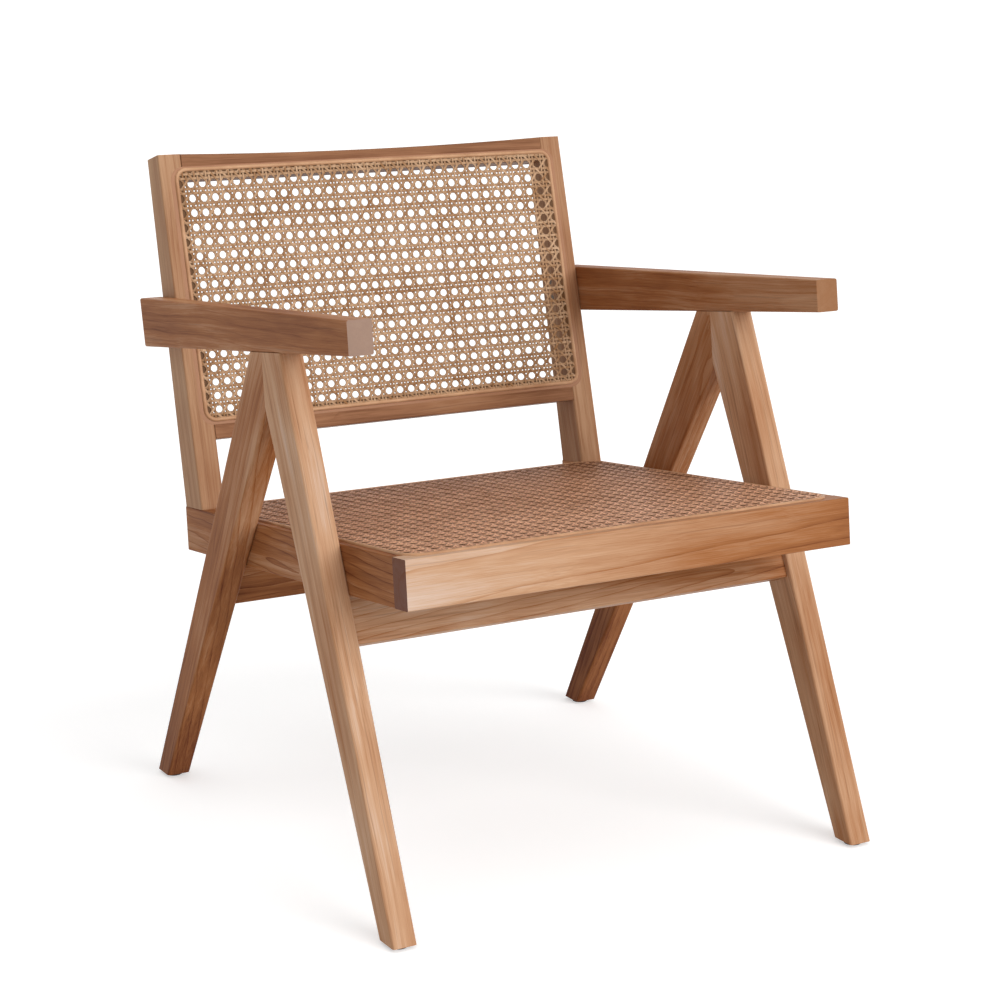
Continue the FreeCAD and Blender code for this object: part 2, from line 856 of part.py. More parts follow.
back_rail_thick = SHEET["back_rail_thick"]
back_inner = half_inner - stile_wide
foot_turn = back_lean - seat_slope
foot_rear = (SHEET["stile_foot_deep"] * cos(foot_turn), SHEET["stile_foot_deep"] * sin(foot_turn))
stile_outline = [
    (ZERO, ZERO), foot_rear, (SHEET["stile_top_deep"], stile_length), (ZERO, stile_length),
]
stiles = {
    side: plank(
        "back_stile_" + name, BACK, slab_start(side, back_inner, stile_wide), stile_wide,
        stile_outline, SHEET["stile_round"],
    )
    for name, side in SIDES
}
lower_rail_rise = SHEET["lower_rail_rise"]
lower_rail_top = lower_rail_rise + SHEET["lower_rail_height"]
lower_rail = plank(
    "back_lower_rail", BACK, -back_inner, back_inner * 2,
    board(ZERO, back_rail_thick, lower_rail_rise, lower_rail_top), rail_round,
)


def make_top_rail():
    """The top rail, whose upper edge dips in a long arc between the stiles."""
    body = new_body("back_top_rail", BACK)
    sketch = new_sketch(body, "XZ_Plane")
    low = stile_length - SHEET["top_rail_height"]
    dip = SHEET["top_rail_dip"]
    radius = (back_inner * back_inner + dip * dip) / (dip * 2)
    rise = (stile_length - dip + radius).value
    spread = math.asin(back_inner.value / radius.value)
    corners = [(-back_inner, stile_length), (-back_inner, low), (back_inner, low), (back_inner, stile_length)]
    points = [FreeCAD.Vector(a.value, b.value, 0) for a, b in corners]
    for start, end in zip(points, points[1:]):
        sketch.addGeometry(Part.LineSegment(start, end))
    circle = Part.Circle(FreeCAD.Vector(0, rise, 0), FreeCAD.Vector(0, 0, 1), radius.value)
    down = -math.pi / 2
    sketch.addGeometry(Part.ArcOfCircle(circle, down - spread, down + spread))
    for i in range(len(points) - 2):
        sketch.addConstraint(Sketcher.Constraint("Coincident", i, 2, i + 1, 1))
    arc = len(points) - 1
    sketch.addConstraint(Sketcher.Constraint("Coincident", 0, 1, arc, 1))
    sketch.addConstraint(Sketcher.Constraint("Coincident", arc - 1, 2, arc, 2))
    for i, corner in enumerate(corners[:-1]):
        pin(sketch, i, 1, corner)
    pin(sketch, arc - 1, 2, corners[-1])
    fix(sketch, "Radius", arc, size=radius)
    pad(body, sketch, back_rail_thick, reverse=True)
    ease_long_edges(body, rail_round)
    return body


top_rail = make_top_rail()

back_cane_half = half_inner - SHEET["back_border_side"]
back_field = CaneField(
    "XZ_Plane",
    (-back_cane_half, lower_rail_rise + SHEET["back_border_bottom"]),
    (back_cane_half, stile_length - SHEET["back_border_top"]),
    stile_wide - SHEET["back_border_side"],
    (-back_inner, lower_rail_top),
    (back_inner, stile_length - SHEET["top_rail_height"]),
    BACK_OPENING_COUNTS,
)
for member in (top_rail, lower_rail, *stiles.values()):
    back_field.groove(member)

# Dowels of the back frame, and from the stiles down into the seat

back_dowel_radius = SHEET["back_dowel_radius"]
back_dowel_shares = (0.25, 0.75)
back_pegs = []
stile_pegs = []
peg_depth = (SHEET["groove_deep"] + back_rail_thick) / 2
rails = (
    (top_rail, stile_length - SHEET["top_rail_height"], stile_length),
    (lower_rail, lower_rail_rise, lower_rail_top),
)
for _, side in SIDES:
    for rail, low, high in rails:
        for share in back_dowel_shares:
            height = low + (high - low) * share
            peg = Peg((back_inner * side, peg_depth, height), ALONG_X, back_dowel_radius, dowel_length)
            peg.bore(rail)
            peg.bore(stiles[side])
            back_pegs.append(peg)
    for share in back_dowel_shares:
        along = stile_foot + SHEET["stile_foot_deep"] * share
        x = (half_inner - stile_wide / 2) * side
        peg = Peg((x, along, ZERO), FreeCAD.Rotation(), dowel_radius, dowel_length)
        peg.bore(side_rails[side])
        stile_pegs.append(peg)
        away = SHEET["stile_foot_deep"] * share
        upright = Peg(
            (x, away * cos(foot_turn), away * sin(foot_turn)),
            turned(-foot_turn), dowel_radius, dowel_length,
        )
        upright.bore(stiles[side])
    for screw in arm_screws[side]:
        moved(screw.shank, in_back, back_lean).bore(stiles[side])
        moved(screw.head, in_back, back_lean).bore(stiles[side])

pieces += [front_rail, rear_rail, *side_rails.values(), *stiles.values(), top_rail, lower_rail]

# Cane and beads

pieces.append(seat_field.sheet_body("seat_cane", SEAT))
pieces.append(seat_field.bead_body("seat_spline", SEAT))
pieces.append(back_field.sheet_body("back_cane", BACK))
pieces.append(back_field.bead_body("back_spline", BACK))

# Dowels and screws, grouped by the joint that they hold


def peg_group(label, frame, pegs):
    solids = [peg_solid(peg, "%s_%d" % (label, i)) for i, peg in enumerate(pegs)]
    pieces.append(group(label, frame, solids))


def screw_group(label, screws):
    solids = [screw.solid("%s_%d" % (label, i)) for i, screw in enumerate(screws)]
    pieces.append(group(label, FLOOR, solids))


peg_group("leg_dowels", FLOOR, [peg for pegs in seam_pegs.values() for peg in pegs])
peg_group("arm_dowels", FLOOR, [peg for pegs in arm_pegs.values() for peg in pegs])
peg_group("seat_dowels", SEAT, seat_pegs)
peg_group("back_dowels", BACK, back_pegs)
peg_group("stile_dowels", SEAT, stile_pegs)
screw_group("seat_screws", [screw for screws in seat_screws.values() for screw in screws])
screw_group("arm_screws", [screw for screws in arm_screws.values() for screw in screws])

# Checks and files

doc.recompute()
for item in doc.Objects:
    if "Invalid" in item.State or "Error" in item.State:
        raise RuntimeError("%s failed: %s" % (item.Label, item.State))
for piece in pieces:
    if piece.Shape.isNull() or not piece.Shape.isValid():
        raise RuntimeError("%s has no valid shape" % piece.Label)

os.makedirs("parts", exist_ok=True)
for piece in pieces:
    piece.Shape.exportStep("parts/%s.step" % piece.Label)
    print(piece.Label, len(piece.Shape.Solids), round(piece.Shape.Volume))
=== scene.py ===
import math
import random

import bpy
from mathutils import Matrix, Vector


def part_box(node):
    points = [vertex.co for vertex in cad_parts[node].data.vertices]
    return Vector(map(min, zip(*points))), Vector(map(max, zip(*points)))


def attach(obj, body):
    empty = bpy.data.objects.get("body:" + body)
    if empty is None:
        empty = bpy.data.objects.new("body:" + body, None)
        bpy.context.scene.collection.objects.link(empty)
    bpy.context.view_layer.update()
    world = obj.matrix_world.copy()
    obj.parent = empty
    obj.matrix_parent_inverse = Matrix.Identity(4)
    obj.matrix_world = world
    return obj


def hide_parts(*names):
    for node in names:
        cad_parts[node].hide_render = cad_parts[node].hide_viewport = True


# A low hardwood lounge chair with a woven cane seat and back, dressed over its CAD frame.
# Metres. The chair faces -Y, up is +Z and the floor is Z = 0.

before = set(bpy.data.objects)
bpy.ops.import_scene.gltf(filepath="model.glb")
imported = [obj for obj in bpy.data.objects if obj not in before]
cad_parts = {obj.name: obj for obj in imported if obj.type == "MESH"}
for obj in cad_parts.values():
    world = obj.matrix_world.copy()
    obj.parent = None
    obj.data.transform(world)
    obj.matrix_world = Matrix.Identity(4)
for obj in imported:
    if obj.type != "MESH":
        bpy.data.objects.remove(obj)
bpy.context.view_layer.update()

MM = 0.001
X = Vector((1.0, 0.0, 0.0))


def srgb(red, green, blue):
    """A colour of 0 to 255 steps as the linear RGBA that shaders take."""
    steps = [value / 255 for value in (red, green, blue)]
    return tuple(s / 12.92 if s <= 0.04045 else ((s + 0.055) / 1.055) ** 2.4 for s in steps) + (1.0,)


def leaning(origin, degrees):
    """A frame at a point in the X = 0 plane, leaned back about X: x across, y rearwards, z up."""
    return Matrix.Translation(Vector(origin) * MM) @ Matrix.Rotation(math.radians(-degrees), 4, "X")


def rising(degrees):
    """Straight up, leaned back by an angle."""
    return Vector((0.0, math.sin(math.radians(degrees)), math.cos(math.radians(degrees))))


def falling(degrees):
    """Straight back, sloping down by an angle."""
    return Vector((0.0, math.cos(math.radians(degrees)), -math.sin(math.radians(degrees))))


# The CAD's own angles in degrees, and its seat and back planes
SEAT_SLOPE = 6.65
BACK_LEAN = 15.8
ARM_FALL = 6.8
FRONT_LEG_LEAN = 25.0
REAR_LEG_LEAN = -26.3
SEAT = leaning((0, -309.85, 397), SEAT_SLOPE)
BACK = leaning((0, 190.26, 338.69), BACK_LEAN)


# ---- Node graphs


class Graph:
    """A material's nodes, made one call at a time."""

    def __init__(self, name):
        self.material = bpy.data.materials.new(name)
        self.material.use_nodes = True
        self.tree = self.material.node_tree
        self.shader = self.tree.nodes["Principled BSDF"]
        self.coords = self.add("TexCoord")["Object"]

    def feed(self, socket, value):
        """Links a socket to another node's output, or sets it."""
        if isinstance(value, bpy.types.NodeSocket):
            self.tree.links.new(value, socket)
        else:
            socket.default_value = value

    def add(self, kind, settings=None, **sockets):
        """Makes a node and returns its outputs. Socket names have _ for a space."""
        node = self.tree.nodes.new("ShaderNode" + kind)
        for key, value in (settings or {}).items():
            setattr(node, key, value)
        for key, value in sockets.items():
            self.feed(node.inputs[key.replace("_", " ")], value)
        return node.outputs

    def step(self, kind, operation, first, second):
        """Makes a maths node, of numbers or vectors, from its first two inputs."""
        node = self.tree.nodes.new("ShaderNode" + kind)
        node.operation = operation
        self.feed(node.inputs[0], first)
        self.feed(node.inputs[1], second)
        return node

    def math(self, operation, first, second=0.0, clamp=False):
        node = self.step("Math", operation, first, second)
        node.use_clamp = clamp
        return node.outputs[0]

    def times(self, first, second):
        return self.math("MULTIPLY", first, second)

    def off_middle(self, noise, strength):
        """A noise as a change either way from its middle."""
        return self.times(self.math("SUBTRACT", noise, 0.5), strength)

    def total(self, *terms):
        """The terms' sum, held between 0 and 1."""
        so_far = terms[0]
        for term in terms[1:-1]:
            so_far = self.math("ADD", so_far, term)
        return self.math("ADD", so_far, terms[-1], clamp=True)

    def stretch(self, vector, scale):
        return self.step("VectorMath", "MULTIPLY", vector, scale).outputs["Vector"]

    def shifted(self, vector, offset):
        return self.step("VectorMath", "ADD", vector, offset).outputs["Vector"]

    def laid(self, origin, along):
        """The object's coordinates from an origin, turned so that X runs along a direction."""
        turned = {"Location": origin, "Rotation": grain_turn(along)}
        return self.add("Mapping", {"vector_type": "TEXTURE"}, Vector=self.coords, **turned)["Vector"]

    def facing(self, direction):
        """How squarely the surface faces a direction, from 0 to 1."""
        normal = self.add("TexCoord")["Normal"]
        dot = self.step("VectorMath", "DOT_PRODUCT", normal, direction).outputs["Value"]
        return self.math("ABSOLUTE", dot)

    def noise(self, vector, scale=1.0, detail=3.0, roughness=0.6):
        return self.add("TexNoise", Vector=vector, Scale=scale, Detail=detail, Roughness=roughness)["Fac"]

    def attribute(self, name):
        """A number that the mesh carries at its points."""
        return self.add("Attribute", {"attribute_type": "GEOMETRY", "attribute_name": name})["Fac"]

    def ramp(self, value, low, high):
        """Maps low to 0 and high to 1, with both ends held."""
        return self.add("MapRange", Value=value, From_Min=low, From_Max=high)["Result"]

    def mix(self, share, first, second):
        node = self.tree.nodes.new("ShaderNodeMix")
        node.data_type = "RGBA"
        node.blend_type = "MIX"
        # a mix node has inputs for each type of data, and the colours are its seventh and eighth
        for socket, value in ((0, share), (6, first), (7, second)):
            self.feed(node.inputs[socket], value)
        return node.outputs[2]

    def bands(self, value, stops):
        """A colour that runs through evenly spaced stops as the value goes from 0 to 1."""
        node = self.tree.nodes.new("ShaderNodeValToRGB")
        elements = node.color_ramp.elements
        for i in range(1, len(stops) - 1):
            elements.new(i / (len(stops) - 1))
        for element, colour in zip(elements, stops):
            element.color = colour
        self.feed(node.inputs[0], value)
        return node.outputs[0]

    def bump(self, height, strength, distance):
        return self.add("Bump", Height=height, Strength=strength, Distance=distance)["Normal"]

    def dress(self, **sockets):
        """Feeds the surface shader's sockets and returns the material."""
        for key, value in sockets.items():
            self.feed(self.shader.inputs[key.replace("_", " ")], value)
        return self.material


def grain_turn(direction):
    """Euler angles of a frame whose X runs along the grain."""
    along = Vector(direction).normalized()
    across = along.cross(Vector((0.0, 0.0, 1.0)))
    if across.length < 0.1:
        across = along.cross(Vector((0.0, 1.0, 0.0)))
    across.normalize()
    third = along.cross(across)
    return Matrix((along, across, third)).transposed().to_euler()


# ---- Wood, one material per board so that the grain runs along each

# Colours from the palest tone to the darkest
WOOD_BANDS = [srgb(220, 200, 186), srgb(197, 154, 120), srgb(160, 103, 62), srgb(102, 50, 24)]
# The back frame's colours: a paler tone of the wood, dimmed as painted shade for less light on the back
DIMMED_BACK_BANDS = [srgb(214, 192, 172), srgb(188, 148, 114), srgb(156, 110, 78), srgb(98, 54, 32)]
LINE_WOOD = srgb(80, 42, 24)
END_WOOD = srgb(150, 106, 74)
PALE_END = srgb(156, 132, 118)
DARK_END = srgb(90, 34, 16)

# How often each noise changes in a metre, along the grain and across it
SWAY_RATE = (3.5, 14.0, 14.0)
BROAD_RATE = (6.0, 22.0, 22.0)
STREAK_RATE = (1.8, 150.0, 150.0)
LINE_RATE = (4.0, 560.0, 560.0)
FIBRE_RATE = (24.0, 1500.0, 1500.0)

# How far the grain and the rings sway off straight, in metres
GRAIN_SWAY = (0.0, 0.012, 0.012)
RING_SWAY = (0.0, 0.022, 0.022)
NOISE_MIDDLE = (-0.5, -0.5, -0.5)

RING_GAP = 8 * MM
WIDE_RING_GAP = 20 * MM
WAVE_PERIOD = math.tau / 20  # the wave texture's own, at a scale of 1
LATE_WOOD_POWER = 9.0  # the higher, the thinner each ring's dark line

# What each layer adds to the tone, which runs from 0, pale, to 1, dark
MIDDLE_TONE = 0.42
STREAK_TONE = 0.6
FIBRE_TONE = 0.35
BROAD_TONE = 0.65

# The noise from which a line starts and is whole, and how squarely a face is cut across the grain
# for the end colour to start and be whole, with how far each covers the wood
LINE_RAMP = 0.57, 0.74
LINE_COVER = 0.34
END_RAMP = 0.8, 0.9
END_COVER = 0.85

WOOD_ROUGH = 0.36
STREAK_ROUGH = 0.16
WOOD_SHINE = 0.06
FIBRE_RELIEF = 0.5  # against the dark lines, which lie lower
WOOD_RELIEF = 0.15 * MM
FINE_RELIEF = 0.1 * MM
RELIEF_STRENGTH = 0.2


def wood(name, grain, heart, tilt=0.0, figure=0.1, shade=0.0, fade=0.0,
         ring_gap=RING_GAP, contrast=1.0, end=END_WOOD, bands=WOOD_BANDS):
    """Oiled hardwood: growth rings round a heart line, with streaks and fine lines along the grain."""
    g = Graph(name)
    along = Vector(grain).normalized()
    leaning_heart = along + Vector((0.0, 0.0, math.tan(math.radians(tilt))))
    local = g.laid(heart, along)
    skewed = g.laid(heart, leaning_heart)
    sway = g.add("TexNoise", Vector=g.stretch(local, SWAY_RATE), Scale=1.0, Detail=3.0)["Color"]
    sway = g.shifted(sway, NOISE_MIDDLE)
    bent = g.shifted(local, g.stretch(sway, GRAIN_SWAY))
    rings = g.add(
        "TexWave", {"wave_type": "RINGS", "rings_direction": "X", "wave_profile": "SAW"},
        Vector=g.shifted(skewed, g.stretch(sway, RING_SWAY)), Scale=WAVE_PERIOD / ring_gap,
        Distortion=0.12, Detail=2.0, Detail_Scale=3.0,
    )["Fac"]
    late_wood = g.math("POWER", rings, LATE_WOOD_POWER)
    streaks = g.noise(g.stretch(bent, STREAK_RATE), detail=5.0, roughness=0.62)
    lines = g.noise(g.stretch(bent, LINE_RATE), detail=2.0, roughness=0.55)
    fibres = g.noise(g.stretch(bent, FIBRE_RATE), detail=2.0)
    broad = g.noise(g.stretch(local, BROAD_RATE), detail=2.0, roughness=0.5)
    run = g.add("SeparateXYZ", Vector=local)["X"]
    tone = g.total(
        g.off_middle(streaks, STREAK_TONE * contrast),
        g.times(late_wood, figure),
        g.off_middle(fibres, FIBRE_TONE),
        g.off_middle(broad, BROAD_TONE * contrast),
        g.times(run, fade),
        MIDDLE_TONE + shade,
    )
    dark_lines = g.ramp(lines, *LINE_RAMP)
    colour = g.mix(g.times(dark_lines, LINE_COVER * contrast), g.bands(tone, bands), LINE_WOOD)
    end_grain = g.ramp(g.facing(along), *END_RAMP)
    colour = g.mix(g.times(end_grain, END_COVER), colour, end)
    height = g.math("SUBTRACT", g.times(fibres, FIBRE_RELIEF), dark_lines)
    return g.dress(
        Base_Color=colour,
        Roughness=g.math("ADD", g.times(streaks, STREAK_ROUGH), WOOD_ROUGH),
        Normal=g.bump(height, RELIEF_STRENGTH, WOOD_RELIEF),
        Specular_IOR_Level=WOOD_SHINE,
    )


def dress_node(node, material):
    """Gives a CAD node its material."""
    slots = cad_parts[node].data.materials
    slots.clear()
    slots.append(material)


BOARDS = {
    # node: grain direction, how far in mm the heart line lies off the board's middle, its tilt in
    # degrees, strength of the rings, darker or paler, and how much darker for each metre along
    "front_leg_left": (rising(FRONT_LEG_LEAN), (46, -80, 20), 1, 0.06, -0.04, 0.0),
    "front_leg_right": (rising(FRONT_LEG_LEAN), (-58, 70, 30), 1, 0.06, 0.0, -0.1),
    "rear_leg_left": (rising(REAR_LEG_LEAN), (-70, 50, 0), 2, 0.2, 0.22, -0.4),
    # rear_leg_right darkens towards its foot as painted shade under the seat
    "rear_leg_right": (rising(REAR_LEG_LEAN), (80, -40, 10), 2, 0.14, 0.26, -0.7),
    "armrest_left": (falling(ARM_FALL), (-30, -90, -20), 2, 0.12, 0.22, 0.0),
    "armrest_right": (falling(ARM_FALL), (-24, 0, 44), 1, 0.1, 0.22, 0.4),
    "front_stretcher": (X, (130, -22, -6), 5, 0.26, 0.12, 0.5),
    "rear_stretcher": (X, (60, -30, 10), 4, 0.26, 0.3, 0.0),
    "seat_front_rail": (X, (-190, -16, 0), 3, 0.2, -0.13, 0.9),
    "seat_rear_rail": (X, (0, -70, 30), 1, 0.06, 0.2, 0.0),
    "seat_side_rail_left": (falling(SEAT_SLOPE), (-24, -120, -6), 4, 0.3, 0.22, 0.0),
    "seat_side_rail_right": (falling(SEAT_SLOPE), (-44, 0, 40), 1, 0.06, 0.14, 0.0),
    "back_stile_left": (rising(BACK_LEAN), (-60, 34, 0), 1, 0.12, 0.08, 0.0),
    "back_stile_right": (rising(BACK_LEAN), (64, 30, 0), 1, 0.1, 0.17, 0.0),
    "back_top_rail": (X, (0, 70, 26), 1, 0.06, 0.36, 0.0),
    "back_lower_rail": (X, (0, 66, -34), 1, 0.06, 0.3, 0.0),
}

# What sets single boards apart from the rest
ODD_BOARDS = {
    "seat_front_rail": {"ring_gap": WIDE_RING_GAP, "contrast": 0.6, "end": DARK_END},
    "armrest_left": {"end": PALE_END},
}

for node, (grain, offset, *cut) in BOARDS.items():
    low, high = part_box(node)
    heart = (low + high) / 2 + Vector(offset) * MM
    # the back boards take the dimmed colours, painted shade
    bands = DIMMED_BACK_BANDS if node.startswith("back") else WOOD_BANDS
    odd = ODD_BOARDS.get(node, {})
    dress_node(node, wood("wood_" + node, grain, heart, *cut, bands=bands, **odd))


# ---- Fittings

SCUFF_RATE = 260.0  # changes in a metre
SCUFF_RAMP = 0.35, 0.7
SCUFF_ROUGH = 0.2
SCUFF_STRENGTH = 0.15


def worn(name, base, dark, rough, metal=0.0):
    """A plain hard material with faint scuffs, for glides and screws."""
    g = Graph(name)
    scuffs = g.noise(g.coords, SCUFF_RATE, detail=4.0, roughness=0.65)
    return g.dress(
        Base_Color=g.mix(g.ramp(scuffs, *SCUFF_RAMP), base, dark),
        Roughness=g.math("ADD", g.times(scuffs, SCUFF_ROUGH), rough),
        Normal=g.bump(scuffs, SCUFF_STRENGTH, FINE_RELIEF),
        Metallic=metal,
    )


DOWEL_HEART = Vector((0.0, 0.1, 0.1))
FITTINGS = {
    "glides": worn("glide_plastic", srgb(44, 38, 34), srgb(26, 23, 21), rough=0.45),
    "screws": worn("screw_steel", srgb(104, 92, 82), srgb(70, 60, 52), rough=0.4, metal=1.0),
    "dowels": wood("wood_dowels", X, DOWEL_HEART, shade=-0.15, contrast=0.5),
}
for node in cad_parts:
    kind = node.split("_")[-1]
    if kind in FITTINGS:
        dress_node(node, FITTINGS[kind])


# ---- Cane and reed

# The colour that painted shade darkens the cane towards, on strand sides, undersides, lower strands and the
# dark border
SHADED_CANE = srgb(34, 10, 0)
REED_COLOURS = srgb(208, 164, 126), srgb(158, 108, 70)
FILLING_COLOURS = srgb(168, 120, 84), srgb(156, 106, 72)
CANE_ROUGH = 0.42
CANE_SHINE = 0.12
REED_SHINE = 0.25

# How often each noise changes in a metre, and the noise that gives its palest and darkest tone
CANE_PATCH_RATE = 38.0
CANE_SPECK_RATE = 900.0
REED_PATCH_RATE = 26.0
REED_SPECK_RATE = 700.0
PATCH_RAMP = 0.3, 0.7
SPECK_RAMP = 0.35, 0.75

# What each adds to the tone, from 0, light, to 1, dark
PALEST_TONE = -0.15
STRAND_TONE = 0.4
PATCH_TONE = 0.25
SPECK_TONE = 0.2
REARWARD_TONE = 0.5
REED_PATCH_TONE = 0.6
REED_SPECK_TONE = 0.3

# The cane darkens from the front, at one Y, to the rear, at another
DARKER_FROM, DARKER_TO = -0.3, 0.18


def cane(name, light, dark):
    """Peeled cane: straw skin that browns in patches, a little darker from strand to strand."""
    g = Graph(name)
    patches = g.noise(g.coords, CANE_PATCH_RATE)
    specks = g.noise(g.coords, CANE_SPECK_RATE, detail=2.0)
    rearward = g.ramp(g.add("SeparateXYZ", Vector=g.coords)["Y"], DARKER_FROM, DARKER_TO)
    tone = g.total(
        g.times(g.attribute("tone"), STRAND_TONE),
        g.times(g.ramp(patches, *PATCH_RAMP), PATCH_TONE),
        g.times(g.ramp(specks, *SPECK_RAMP), SPECK_TONE),
        g.times(rearward, REARWARD_TONE),
        PALEST_TONE,
    )
    return g.dress(
        # painted shade: strand sides, undersides, lower strands and the border under the weave darken by
        # their attribute
        Base_Color=g.mix(g.attribute("depth"), g.mix(tone, light, dark), SHADED_CANE),
        Roughness=CANE_ROUGH,
        Normal=g.bump(specks, RELIEF_STRENGTH, FINE_RELIEF),
        Specular_IOR_Level=CANE_SHINE,
    )


def reed(name):
    """The reed bead, honey coloured in patches. Where its mesh says flush, it is wood."""
    g = Graph(name)
    patches = g.noise(g.coords, REED_PATCH_RATE)
    specks = g.noise(g.coords, REED_SPECK_RATE, detail=2.0)
    tone = g.total(
        g.times(g.ramp(patches, *PATCH_RAMP), REED_PATCH_TONE),
        g.times(specks, REED_SPECK_TONE),
    )
    filling = g.mix(patches, *FILLING_COLOURS)
    return g.dress(
        Base_Color=g.mix(g.attribute("flush"), g.mix(tone, *REED_COLOURS), filling),
        Roughness=CANE_ROUGH,
        Normal=g.bump(specks, RELIEF_STRENGTH, FINE_RELIEF),
        Specular_IOR_Level=REED_SHINE,
    )


# ---- The panels: sizes in mm


class Panel:
    """A cane field: a plane, the groove's middle line and the weave's grid of holes."""

    def __init__(self, plane, upright, low, high, corner):
        self.plane = plane
        self.upright = upright
        self.low = low
        self.high = high
        self.corner = corner

    def lay(self, first_hole, pitch, drift, skew):
        """Sets the grid: its first hole, the pitches, how they drift from hole to hole, and the skew."""
        self.first_hole = first_hole
        self.pitch = pitch
        self.drift = drift
        self.skew = skew

    def place(self, column, row):
        """Where a column and a row of the grid lie on the panel."""
        u = self.first_hole[0] + self.pitch[0] * column + self.drift[0] * column ** 2
        v = self.first_hole[1] + self.pitch[1] * row + self.drift[1] * row ** 2 + self.skew * column
        return u, v

    def point(self, u, v, out):
        """A point of the plane in metres: u across, v up or back, out from its face."""
        local = Vector((u, -out, v)) if self.upright else Vector((u, v, out))
        return self.plane @ (local * MM)

    def inside(self, u, v, inset):
        """Whether a point is within the middle line, drawn in by an inset."""
        across = max(self.low[0] + self.corner - u, u - self.high[0] + self.corner, 0.0)
        along = max(self.low[1] + self.corner - v, v - self.high[1] + self.corner, 0.0)
        return math.hypot(across, along) <= self.corner - inset

    def centres(self):
        """The four rounded corners' centres, anticlockwise from the highest, a quarter turn each."""
        near_u, far_u = self.low[0] + self.corner, self.high[0] - self.corner
        near_v, far_v = self.low[1] + self.corner, self.high[1] - self.corner
        return (far_u, far_v), (near_u, far_v), (near_u, near_v), (far_u, near_v)


CORNER_STEPS = 12


def quarter_turn(quarter):
    """The angles of one rounded corner."""
    return [(quarter + step / CORNER_STEPS) * math.pi / 2 for step in range(CORNER_STEPS + 1)]


def new_piece(name, vertices, faces, material, slot, node, **attributes):
    """A mesh that stands for a CAD node, with a list of numbers at its points for each attribute."""
    mesh = bpy.data.meshes.new(name)
    mesh.from_pydata(vertices, [], faces)
    mesh.materials.append(material)
    for label, values in attributes.items():
        mesh.attributes.new(label, "FLOAT", "POINT").data.foreach_set("value", values)
    item = bpy.data.objects.new(name, mesh)
    bpy.context.scene.collection.objects.link(item)
    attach(item, "root")
    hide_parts(node)
    return mesh


# ---- The weave: every strand is a ribbon that rises and dips over the others

# How wide a strand is, and how far apart a pair's two lie: those that run across, then those that
# run up
STRAND_WIDE = (3.3, 2.6)
PAIR_GAP = (4.7, 4.0)
DIAGONAL_WIDE = 2.9
WEAVE_INSET = 0.6  # from the bead's middle line, under the bead

# How high a strand lies over the lowest, in its weave's own steps
DEEPEST, UNDER, MIDDLE, OVER, HIGHEST = 0.0, 0.4, 1.0, 1.6, 2.0

# How much painted shade darkens a strand's underside, sides and top, and how much more for each step lower
UNDERSIDE_SHADE, SIDE_SHADE, TOP_SHADE = 0.2, 1.0, 0.05
LEVEL_SHADE = 0.5

HALF = 0.5  # of a pitch
SPARE_LINES = 4  # past the grid's corner, to reach the outline everywhere
EDGE_HALVINGS = 14

# The painted shade border's two faces, out from the frame's, and how dark its painted shade is
SHADE_BORDER_OUT = (0.02, 0.07)
SHADE_BORDER_DARKNESS = 0.6
SHADE_BORDER_TONE = 3.0


